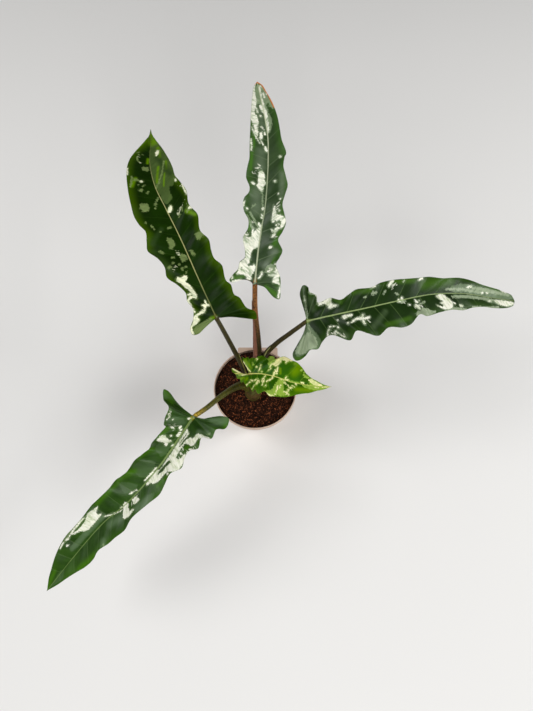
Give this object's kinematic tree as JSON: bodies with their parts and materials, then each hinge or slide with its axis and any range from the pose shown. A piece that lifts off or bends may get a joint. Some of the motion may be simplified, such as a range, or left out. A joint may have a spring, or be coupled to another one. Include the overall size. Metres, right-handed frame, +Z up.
{
  "type": "potted variegated alocasia lauterbachiana",
  "caption": "Young foliage plant with long wavy-edged spear leaves splashed cream and white, on slim stalks over a round nursery pot of coco soil.",
  "frame": {"origin": "centre of the pot's flat underside, where the pot stands", "axes": "+Z up along the pot's axis, +X to the right and +Y away from a viewer in front of the plant, with the label tab at the back"},
  "size_m": [0.5923, 0.5881, 0.3417],
  "materials": {
    "pot_plastic": "satin cream injection-moulded plastic",
    "soil": "loose coco and peat crumbs",
    "corm": "dull green-brown stem skin with ring scars",
    "stalk": "mottled olive and brown, faint wax sheen",
    "grown_leaf": "satin dark green with cream and white variegation",
    "young_leaf": "glossy yellow-green with cream variegation",
    "dry_sheath": "thin papery pink-brown"
  },
  "bodies": {
    "root": {"pot": "pot_plastic", "soil": "soil", "corm": "corm", "sheath_back": "dry_sheath", "stalk_back_left": "stalk", "blade_back_left": "grown_leaf", "stalk_back": "stalk", "blade_back": "grown_leaf", "stalk_right": "stalk", "blade_right": "grown_leaf", "stalk_front_left": "stalk", "blade_front_left": "grown_leaf", "stalk_young": "stalk", "blade_young": "young_leaf"}
  },
  "joints": []
}
